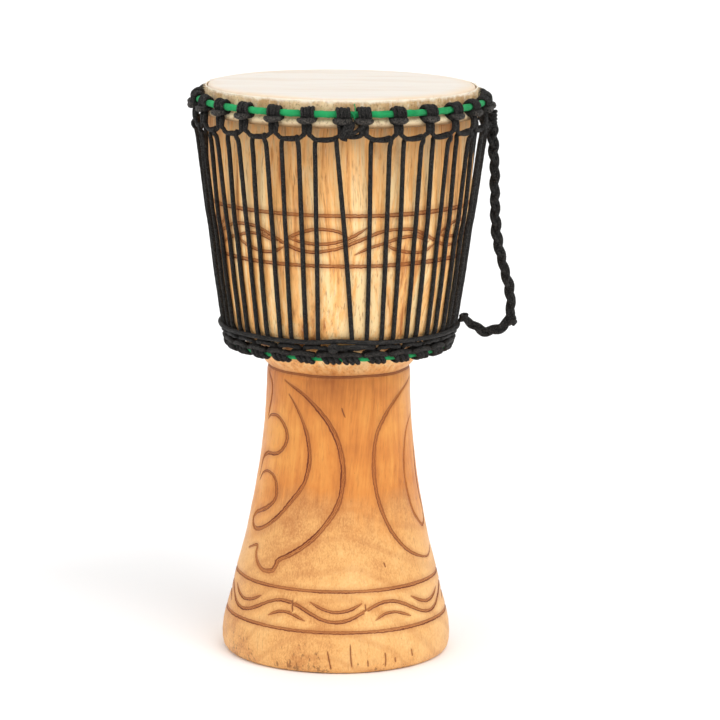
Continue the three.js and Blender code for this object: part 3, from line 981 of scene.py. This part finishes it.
def lockRope():   # once round, raised over the knot, and an end that lies beneath it on the right
    points = []
    for a in range(-180, 181, 3):
        even = 0.5 * wobble(a, 8, 0.06) * math.cos(math.radians(a / 2))
        points.append(polar(a, 124.4, 349.2 + 1.9 * math.exp(-((a - 1) / 9) ** 2) + even))
    second = [polar(-3, 120.5, 345.2), polar(0, 124.2, 344.9), polar(4, 124.9, 345.2),
              polar(8, 124.9, 345.5), polar(12, 124.2, 345.4), polar(15.5, 122.4, 345.2),
              polar(18, 119.6, 345.6)]
    return [smoothRoute(points, 2 * mm)[0], smoothRoute(second, 2 * mm)[0]]


def smallRope(name, points, radius):
    return tube(name, [smoothRoute(points, 1.2 * mm)[0]], radius * mm)


def coilKnot(centre, size, turns, seed, lean):
    points = []
    steps = turns * 10
    for k in range(steps + 1):
        t = k / steps
        a = 2 * math.pi * turns * t
        r = size * (1 - 0.62 * t)
        local = Vector((r * math.cos(a), -1.0 * t, r * 0.74 * math.sin(a) + 0.3 * wobble(k, seed)))
        points.append(centre + (lean @ local) * mm)
    return points


lock = tube("lockRope", lockRope(), 2.45 * mm)
finished(lock, rope, "drum", "black_rope", "lock_rope")

facing = Matrix.Rotation(math.radians(-2), 3, "Z")
points = [polar(3, 124.2, 345.6), polar(0.8, 126.4, 344.0)]
points += coilKnot(polar(-2, 127.3, 344.2), 5.0, 2, 6, facing)
lockKnot = smallRope("lockRopeKnot", points, 2.1)
finished(lockKnot, rope, "drum", "black_rope", "lock_rope_knot")

tieOffPoints = [(9.4, 154.0, 577.5), (8.2, 156.2, 573.5), (5.6, 156.6, 568.5), (3.4, 155.4, 564.6)]
for turn in range(4):   # wrapped round the neck of the knot on the left, leaning to the right
    across = 2.9 - 0.85 * turn
    tieOffPoints += [(across, 151.4, 563.6), (across - 0.2, 149.6, 568.5), (across + 0.5, 151.6, 575.4),
                     (across + 1.7, 155.4, 576.6), (across + 1.2, 157.6, 571.0),
                     (across + 0.1, 156.6, 565.0)]
tieOffPoints += [(0.6, 154.4, 562.0), (2.6, 153.8, 560.6)]
tieOff = smallRope("topTieOff", [polar(*p) for p in tieOffPoints], ropeShape["radius"])
finished(tieOff, rope, "crown", "black_rope", "top_tie_off")

threads = [[(4.6, 152.8, 583), (5.2, 154.0, 586), (6.6, 153.2, 588)],
           [(5.8, 152.8, 582), (5.1, 154.2, 585), (3.9, 153.0, 587.5)],
           [(5.2, 152.2, 574), (5.3, 153.6, 580), (5.0, 153.4, 586), (5.6, 152.9, 590), (5.2, 150.5, 596)]]
thread = tube("greenThread", [smoothRoute([polar(*p) for p in t], 1 * mm)[0] for t in threads], 0.55 * mm, 1)
finished(thread, cloth, "crown", "green_cloth")
print("small ropes")

# the plaited handle and what ties it on

handleShape = {
    # x and z in millimetres, from the crown down to the bottom cradle
    "route": [(157.2, 559.2), (157, 548), (158.2, 533), (159.6, 517), (160, 500), (160.4, 480),
              (161.4, 460), (163.6, 441), (167, 424), (171.4, 408), (175.8, 393), (178.8, 378),
              (179.4, 364), (176.6, 352), (168.6, 344.4), (158, 341.2), (147, 343), (136.2, 350.4)],
    "strand": 2.6, "across": 3.4, "deep": 1.75, "period": 50.0, "sharp": 1.5,
    "diameter": 0.0105,
}


def makeHandle():
    shape = handleShape
    centre, _ = smoothRoute([Vector((x, 0, z)) * mm for x, z in shape["route"]], 1.3 * mm)
    tip = [Vector((132.2, 0, 353.6)) * mm]
    full, length = smoothRoute([centre[0]] + centre[6:-6:6] + [centre[-1]] + tip, 1.3 * mm)
    strands = []
    for k in range(3):
        strand, run = [], 0.0
        for i, p in enumerate(full):
            q = full[min(i + 1, len(full) - 1)] - full[max(i - 1, 0)]
            q.normalize()
            side = Vector((q.z, 0, -q.x))
            phase = 2 * math.pi * (run / shape["period"] / mm + k / 3)
            ends = min(1.0, 0.45 + i / 10, 0.35 + (len(full) - 1 - i) / 10)
            s = math.sin(phase)
            loose = 1 + 0.42 * wobble(run / mm * 0.045, k + 3)
            off = side * (shape["across"] * loose * ends * math.copysign(abs(s) ** shape["sharp"], s))
            off += Vector((0, shape["deep"] * ends * math.sin(2 * phase), 0))
            strand.append(p + off * mm)
            if i + 1 < len(full):
                run += (full[i + 1] - p).length
        strands.append(strand)
    obj = tube("plaitedHandle", strands, shape["strand"] * mm)
    return obj, full, length


handle, handleLine, handleLength = makeHandle()
finished(handle, rope, "handle", "black_rope", "handle_rope")
print("handle", round(handleLength, 3), "m", len(handle.data.polygons))


# windings in millimetres, with the places where the tail goes on from their middle
hitchShape = {
    "top": {"centre": (156.2, 0, 562.6), "size": 4.9, "height": 19.0, "turns": 5, "squeeze": 0.76,
            "radius": 2.1, "tail": [(-1.5, 3.5, -9.0), (-3.4, 1.0, -8.0), (-4.5, -3.2, -5.6)], "seed": 3},
    "bottom": {"centre": (130.4, 0, 355.4), "size": 3.3, "height": 5.2, "turns": 2, "squeeze": 0.9,
               "radius": 2.2, "tail": [(0.5, 1.5, -2.0), (-2.2, 3.0, -3.6), (-4.6, 4.5, -4.0)], "seed": 4},
}


def windings(name, shape):
    points = []
    steps = shape["turns"] * 12
    centre = Vector(shape["centre"]) * mm
    for k in range(steps + 1):
        t = k / steps
        a = 2 * math.pi * shape["turns"] * t
        r = shape["size"] * (1 + 0.05 * wobble(k, shape["seed"], 0.4))
        points.append(centre + Vector((r * shape["squeeze"] * math.cos(a), r * math.sin(a),
                                       shape["height"] * (0.5 - t))) * mm)
    points += [centre + Vector(p) * mm for p in shape["tail"]]
    return smallRope(name, points, shape["radius"])


knobPoints = [(182.2, -3.6, 357.5), (183.6, 1.5, 354.6), (181.6, 4.2, 351.0), (177.8, 1.6, 348.8),
              (178.4, -3.4, 349.6), (182.4, -4.4, 352.2), (184.6, -0.6, 351.4), (181.8, 1.6, 347.8)]
knob = smallRope("handleCornerKnot", [Vector(p) * mm for p in knobPoints], 2.2)
finished(knob, rope, "handle", "black_rope")

topHitch = windings("handleTopHitch", hitchShape["top"])
finished(topHitch, rope, "crown", "black_rope", "handle_top_hitch")
bottomHitch = windings("handleBottomHitch", hitchShape["bottom"])
finished(bottomHitch, rope, "drum", "black_rope", "handle_bottom_hitch")

# the steel rings

steelLook = {"dark": (0.20, 0.20, 0.21), "light": (0.42, 0.41, 0.40)}


def steelMaterial():
    mat = Finish("ringSteel")
    mill = mat.noise(mat.place(), 300.0, 4, 0.6)
    return mat.shader({"Base Color": mat.mix(mill, steelLook["dark"], steelLook["light"]), "Metallic": 1.0,
                       "Roughness": mat.span(mill, 0.3, 0.7, 0.35, 0.6),
                       "Normal": mat.bump(mill, 0.0001, 0.4)})


steel = steelMaterial()
for name in ("flesh_ring", "crown_ring", "bottom_ring"):
    nodes[name].data.materials.clear()
    nodes[name].data.materials.append(steel)

# floor, light and camera

stageLook = {
    "floor": (0.975, 0.975, 0.975), "world": 0.80,
    # sun lamps: strength, softness in degrees, degrees round from the front, degrees up
    "suns": {"key": (1.25, 40, 38, 46), "fill": (0.50, 60, -50, 34), "back": (0.25, 60, 190, 50)},
    "camera": (0.0223, -3.6, 1.0019), "lens": 174.67, "pitch": 0.1903, "roll": 0.0117,
}


def makeStage():
    bm = bmesh.new()
    bmesh.ops.create_grid(bm, x_segments=1, y_segments=1, size=40)
    floor = meshFrom("floor", bm, False)
    pale = {"Base Color": stageLook["floor"], "Roughness": 0.9, "Specular IOR Level": 0.1}
    floor.data.materials.append(Finish("paleFloor").shader(pale))
    world = bpy.data.worlds.new("studio")
    world.use_nodes = True
    background = world.node_tree.nodes["Background"].inputs
    background[0].default_value = (1, 1, 1, 1)
    background[1].default_value = stageLook["world"]
    bpy.context.scene.world = world
    for name, (strength, softness, turn, height) in stageLook["suns"].items():
        light = bpy.data.lights.new(name, "SUN")
        light.energy = strength
        light.angle = math.radians(softness)
        up = math.radians(height)
        towards = polar(turn, 1000 * math.cos(up), 1000 * math.sin(up))
        link(name, light).rotation_euler = towards.to_track_quat("Z", "Y").to_euler()
    camera = bpy.data.cameras.new("camera")
    camera.lens = stageLook["lens"]
    camera.sensor_width = 36
    view = link("camera", camera)
    tilt = Matrix.Rotation(math.radians(90) - stageLook["pitch"], 4, "X")
    roll = Matrix.Rotation(stageLook["roll"], 4, "Z")
    view.matrix_world = Matrix.Translation(stageLook["camera"]) @ tilt @ roll
    bpy.context.scene.camera = view
    bpy.context.scene.view_settings.view_transform = "Standard"


makeStage()
print("stage")
